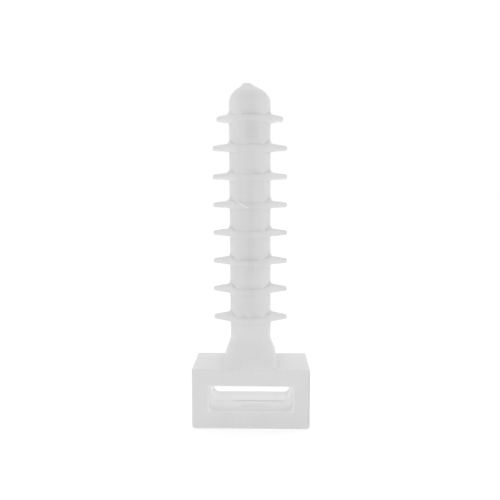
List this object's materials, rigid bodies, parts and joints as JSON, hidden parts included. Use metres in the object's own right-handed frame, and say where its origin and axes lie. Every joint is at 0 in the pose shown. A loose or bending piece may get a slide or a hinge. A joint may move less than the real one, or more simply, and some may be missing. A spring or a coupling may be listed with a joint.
{
  "type": "cable tie wall plug",
  "caption": "Push-in nylon wall plug: slotted head for a cable tie, flared neck and a round barbed stem with a domed nose.",
  "frame": {"origin": "middle of the head's outer flat face, under the stem's axis", "axes": "+Z along the stem from the head to the nose, +X along the head's long side and the fins' reach, +Y through the tie slot"},
  "size_m": [0.0154, 0.008, 0.0451],
  "materials": {
    "nylon": "natural, slightly translucent moulded nylon with a satin surface"
  },
  "bodies": {
    "root": {"tie_bar": "nylon", "cheek_right": "nylon", "cheek_left": "nylon", "shoulder_right": "nylon", "shoulder_left": "nylon", "neck_root": "nylon", "neck": "nylon", "stem": "nylon", "nose": "nylon", "fin_1": "nylon", "fin_2": "nylon", "fin_3": "nylon", "fin_4": "nylon", "fin_5": "nylon", "fin_6": "nylon", "fin_7": "nylon", "fin_8": "nylon"}
  },
  "joints": []
}
